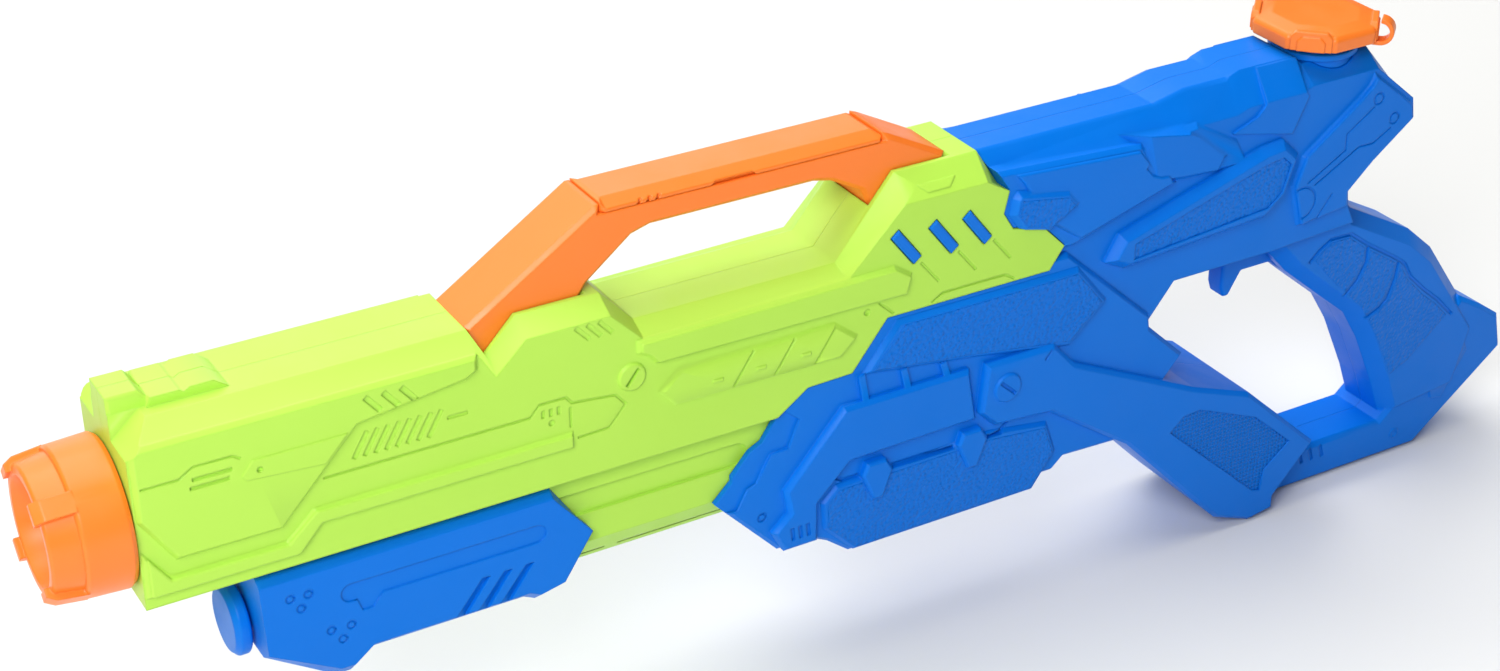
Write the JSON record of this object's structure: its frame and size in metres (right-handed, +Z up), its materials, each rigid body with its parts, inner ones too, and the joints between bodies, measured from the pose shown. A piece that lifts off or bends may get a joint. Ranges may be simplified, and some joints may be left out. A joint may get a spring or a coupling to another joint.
{
  "type": "water squirter",
  "caption": "Pump-action toy water squirter with a sliding fore-end, sprung trigger, screw-capped tank, carrying handle and skeleton stock.",
  "frame": {"origin": "middle of the bounding box in plan, at the underside of the stock", "axes": "+X from the muzzle towards the stock, +Y towards the right side (the picture shows the left side), +Z up"},
  "size_m": [0.614, 0.052, 0.207],
  "materials": {
    "lime_abs": "satin moulded ABS, lime green",
    "blue_abs": "satin moulded ABS, bright blue",
    "orange_abs": "satin moulded ABS, orange",
    "natural_polypropylene": "unpigmented polypropylene",
    "black_rubber": "moulded nitrile rubber",
    "clear_vinyl_hose": "soft vinyl hose",
    "zinc_steel": "zinc-plated steel"
  },
  "bodies": {
    "shell": {"front_shell_left": "lime_abs", "front_shell_right": "lime_abs", "rear_shell_left": "blue_abs", "rear_shell_right": "blue_abs", "filler_neck": "blue_abs", "muzzle_collar": "orange_abs", "nozzle_jet": "orange_abs", "carry_handle": "orange_abs", "handle_top_cover": "orange_abs", "pump_cylinder": "natural_polypropylene", "rod_guide": "natural_polypropylene", "cylinder_head": "natural_polypropylene", "water_tank": "natural_polypropylene", "valve_body": "natural_polypropylene", "outlet_hose": "clear_vinyl_hose", "feed_hose": "clear_vinyl_hose", "air_hose": "clear_vinyl_hose", "front_screw_1": "zinc_steel", "front_screw_2": "zinc_steel", "front_screw_3": "zinc_steel", "front_screw_4": "zinc_steel", "front_screw_5": "zinc_steel", "front_screw_6": "zinc_steel", "rear_screw_1": "zinc_steel", "rear_screw_2": "zinc_steel", "rear_screw_3": "zinc_steel", "rear_screw_4": "zinc_steel", "rear_screw_5": "zinc_steel", "rear_screw_6": "zinc_steel", "rear_screw_7": "zinc_steel"},
    "pump": {"pump_grip_left": "blue_abs", "pump_grip_right": "blue_abs", "pump_rod": "blue_abs", "piston": "natural_polypropylene", "piston_ring": "black_rubber", "grip_screw_1": "zinc_steel", "grip_screw_2": "zinc_steel"},
    "trigger": {"trigger": "blue_abs", "valve_stem": "natural_polypropylene", "trigger_spring": "zinc_steel"},
    "tether": {"cap_tether": "orange_abs"},
    "cap": {"filler_cap": "orange_abs", "cap_seal": "black_rubber"}
  },
  "joints": [
    {"name": "pump_slide", "type": "slide", "parent": "shell", "child": "pump", "axis": [1, 0, 0], "range_m": [0, 0.042]},
    {"name": "trigger_pull", "type": "slide", "parent": "shell", "child": "trigger", "axis": [1, 0, 0], "range_m": [0, 0.007], "stiffness_N_per_m": 500, "springref_m": -0.003, "deforming": ["trigger_spring"]},
    {"name": "cap_turn", "type": "hinge", "parent": "shell", "child": "tether", "pos_m": [0.193, 0, 0.1975], "axis": [0, 0, 1], "range_deg": [0, 540]},
    {"name": "cap_lift", "type": "slide", "parent": "tether", "child": "cap", "axis": [0, 0, 1], "range_m": [0, 0.0046]}
  ],
  "couplings": [
    {"joint": "cap_lift", "follows": "cap_turn", "m_per_rad": 0.00047746}
  ]
}
